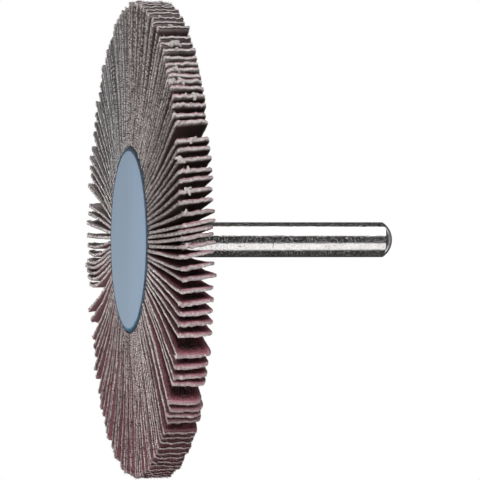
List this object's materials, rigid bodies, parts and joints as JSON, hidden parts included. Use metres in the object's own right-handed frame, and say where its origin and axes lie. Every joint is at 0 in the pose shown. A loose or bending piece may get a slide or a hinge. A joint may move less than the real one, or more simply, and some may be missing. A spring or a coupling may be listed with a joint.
{
  "type": "flap wheel",
  "caption": "Round abrasive wheel with flaps set on edge round a core, a thin front disc and a straight steel shank for a rotary tool.",
  "frame": {"origin": "centre of the front disc's outer face, on the wheel's axis", "axes": "+Z along the axis, from the front disc to the shank's free end; X and Y are any pair square to it"},
  "size_m": [0.081, 0.081, 0.0461],
  "materials": {
    "ground_steel": "ground and polished, with fine scratches",
    "cast_resin": "hard cast resin, satin",
    "coated_disc": "satin blue-grey coating",
    "abrasive_cloth": "matt grit on woven cloth"
  },
  "bodies": {
    "root": {"shank": "ground_steel", "resin_core": "cast_resin", "front_disc": "coated_disc", "flap_pack_01": "abrasive_cloth", "flap_pack_02": "abrasive_cloth", "flap_pack_03": "abrasive_cloth", "flap_pack_04": "abrasive_cloth", "flap_pack_05": "abrasive_cloth", "flap_pack_06": "abrasive_cloth", "flap_pack_07": "abrasive_cloth", "flap_pack_08": "abrasive_cloth", "flap_pack_09": "abrasive_cloth", "flap_pack_10": "abrasive_cloth", "flap_pack_11": "abrasive_cloth", "flap_pack_12": "abrasive_cloth", "flap_pack_13": "abrasive_cloth", "flap_pack_14": "abrasive_cloth", "flap_pack_15": "abrasive_cloth", "flap_pack_16": "abrasive_cloth", "flap_pack_17": "abrasive_cloth", "flap_pack_18": "abrasive_cloth", "flap_pack_19": "abrasive_cloth", "flap_pack_20": "abrasive_cloth", "flap_pack_21": "abrasive_cloth", "flap_pack_22": "abrasive_cloth", "flap_pack_23": "abrasive_cloth", "flap_pack_24": "abrasive_cloth", "flap_pack_25": "abrasive_cloth", "flap_pack_26": "abrasive_cloth", "flap_pack_27": "abrasive_cloth", "flap_pack_28": "abrasive_cloth", "flap_pack_29": "abrasive_cloth", "flap_pack_30": "abrasive_cloth", "flap_pack_31": "abrasive_cloth", "flap_pack_32": "abrasive_cloth", "flap_pack_33": "abrasive_cloth", "flap_pack_34": "abrasive_cloth", "flap_pack_35": "abrasive_cloth", "flap_pack_36": "abrasive_cloth", "flap_pack_37": "abrasive_cloth", "flap_pack_38": "abrasive_cloth", "flap_pack_39": "abrasive_cloth", "flap_pack_40": "abrasive_cloth", "flap_pack_41": "abrasive_cloth", "flap_pack_42": "abrasive_cloth"}
  },
  "joints": []
}
